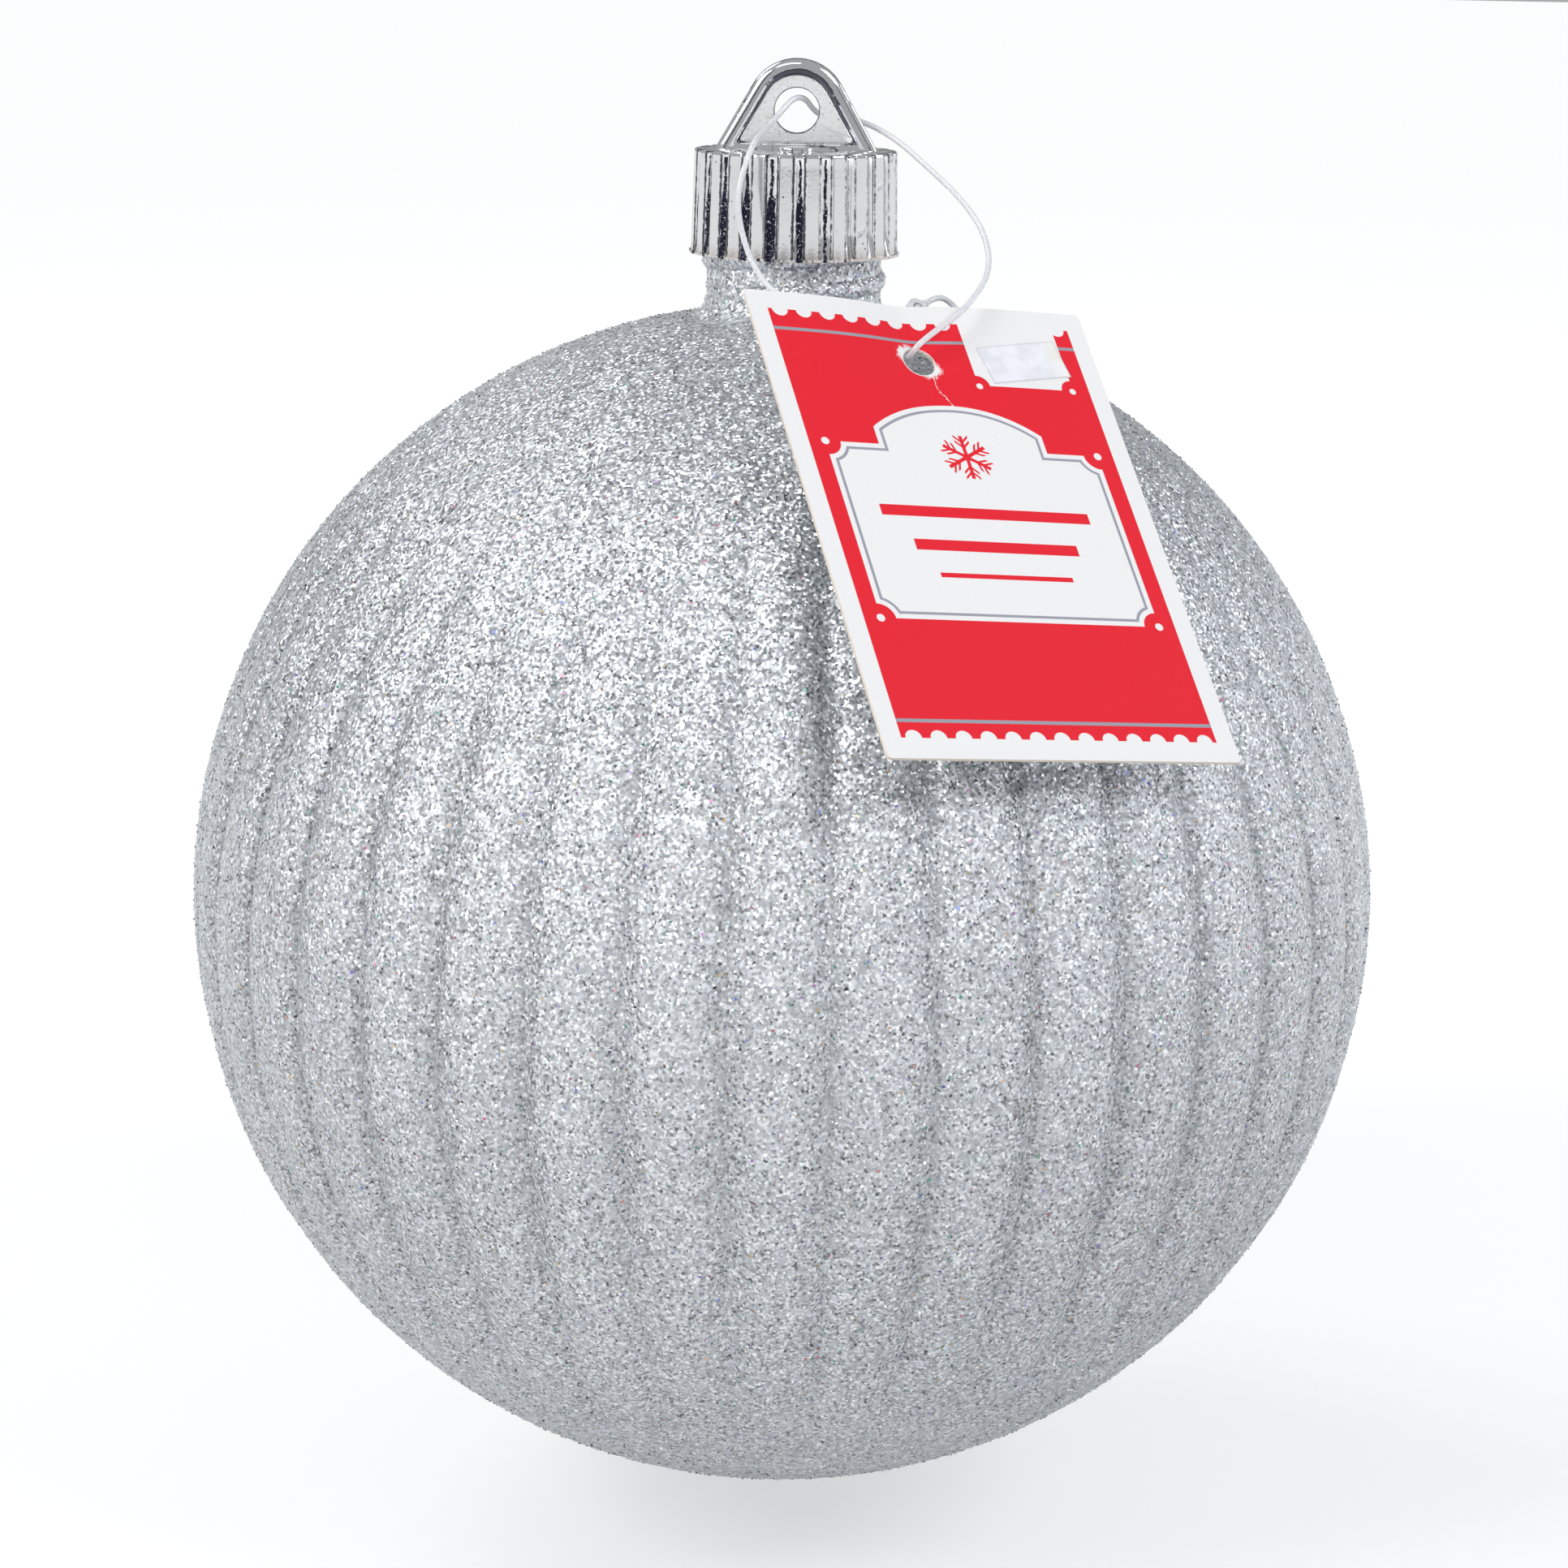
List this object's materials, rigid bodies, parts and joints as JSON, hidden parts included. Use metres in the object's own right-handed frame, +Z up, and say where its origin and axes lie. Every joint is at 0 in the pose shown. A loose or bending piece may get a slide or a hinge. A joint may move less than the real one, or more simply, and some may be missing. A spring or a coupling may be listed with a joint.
{
  "type": "ball ornament",
  "caption": "Hollow fluted ball ornament with a glitter coat, a ribbed screw cap with a hanger lug, and a card tag on a nylon loop.",
  "frame": {"origin": "centre of the hanger hole in the cap's lug", "axes": "+Z up along the ball's axis, +Y along the hanger hole towards the back, +X to the right seen from the front; the tag lies at the front right"},
  "size_m": [0.15, 0.1528, 0.1796],
  "materials": {
    "glitter_silver": "blow-moulded plastic coated all over with cool silver glitter",
    "mirror_cap": "plastic, vacuum-metallised to a mirror silver",
    "liner_foam": "closed-cell polyethylene foam",
    "printed_card": "off-white card printed red, light sheen",
    "sticker_paper": "blank coated label",
    "clear_nylon": "translucent milky nylon"
  },
  "bodies": {
    "cap": {"screw_cap": "mirror_cap"},
    "liner": {"cap_liner": "liner_foam"},
    "ball": {"ball_shell": "glitter_silver", "ball_neck": "glitter_silver"},
    "loop": {"tag_loop": "clear_nylon", "loop_lock": "clear_nylon", "loop_tip": "clear_nylon"},
    "tag": {"tag_card": "printed_card", "price_sticker": "sticker_paper"}
  },
  "joints": [
    {"name": "cap_turn", "type": "hinge", "parent": "cap", "child": "liner", "pos_m": [0, 0, -0.0066], "axis": [0, 0, -1], "range_deg": [0, 900]},
    {"name": "ball_travel", "type": "slide", "parent": "liner", "child": "ball", "axis": [0, 0, -1], "range_m": [0, 0.0105]},
    {"name": "loop_swing", "type": "hinge", "parent": "cap", "child": "loop", "pos_m": [0, 0, 0], "axis": [-1, 0, 0], "range_deg": [0, 25]},
    {"name": "tag_swing", "type": "hinge", "parent": "loop", "child": "tag", "pos_m": [0.01374, -0.03118, -0.02571], "axis": [0.3732, -0.5903, 0.7157], "range_deg": [-20, 20]}
  ],
  "couplings": [
    {"joint": "ball_travel", "follows": "cap_turn", "m_per_rad": 0.00066845}
  ]
}
